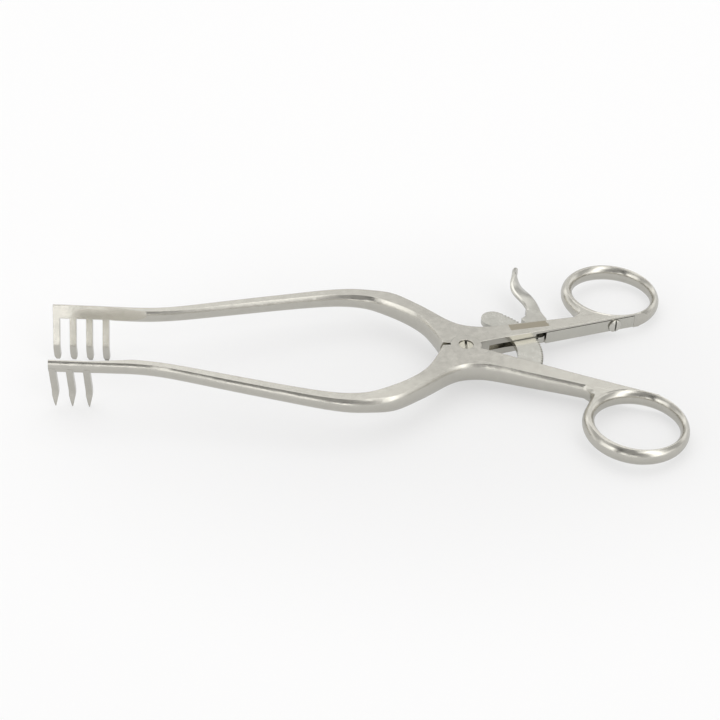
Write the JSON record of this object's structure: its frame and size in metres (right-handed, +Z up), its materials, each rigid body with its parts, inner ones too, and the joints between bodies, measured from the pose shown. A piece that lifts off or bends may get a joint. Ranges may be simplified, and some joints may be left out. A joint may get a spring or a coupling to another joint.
{
  "type": "self retaining retractor",
  "caption": "Hinged surgical spreader: two rake-ended arms on a screw joint, held open by a toothed sector and a sprung thumb release.",
  "frame": {"origin": "middle of the bounding box, on the table the retractor lies on", "axes": "+X from the prongs to the finger rings, +Y towards the branch with four prongs, +Z up"},
  "size_m": [0.2032, 0.1036, 0.021],
  "materials": {
    "satin_steel": "satin",
    "plate_steel": "satin",
    "screw_steel": "turned",
    "spring_steel": "ground"
  },
  "bodies": {
    "lower_half": {"lower_branch": "satin_steel", "ratchet_sector": "plate_steel"},
    "upper_half": {"upper_branch": "satin_steel", "pivot_screw": "screw_steel", "lever_pin": "screw_steel", "leaf_spring": "spring_steel", "spring_screw": "screw_steel"},
    "lever": {"release_lever": "plate_steel"}
  },
  "joints": [
    {"name": "arm_spread", "type": "hinge", "parent": "lower_half", "child": "upper_half", "pos_m": [0.0342, 0, 0.00851], "axis": [-0.0771, 0, -0.997], "range_deg": [-11.5, 34]},
    {"name": "release_press", "type": "hinge", "parent": "upper_half", "child": "lever", "pos_m": [0.06215, 0.01497, 0.00635], "axis": [0.0771, 0, 0.997], "range_deg": [0, 10], "stiffness_Nm_per_rad": 0.12, "springref_deg": -6.88, "deforming": ["leaf_spring"]}
  ]
}
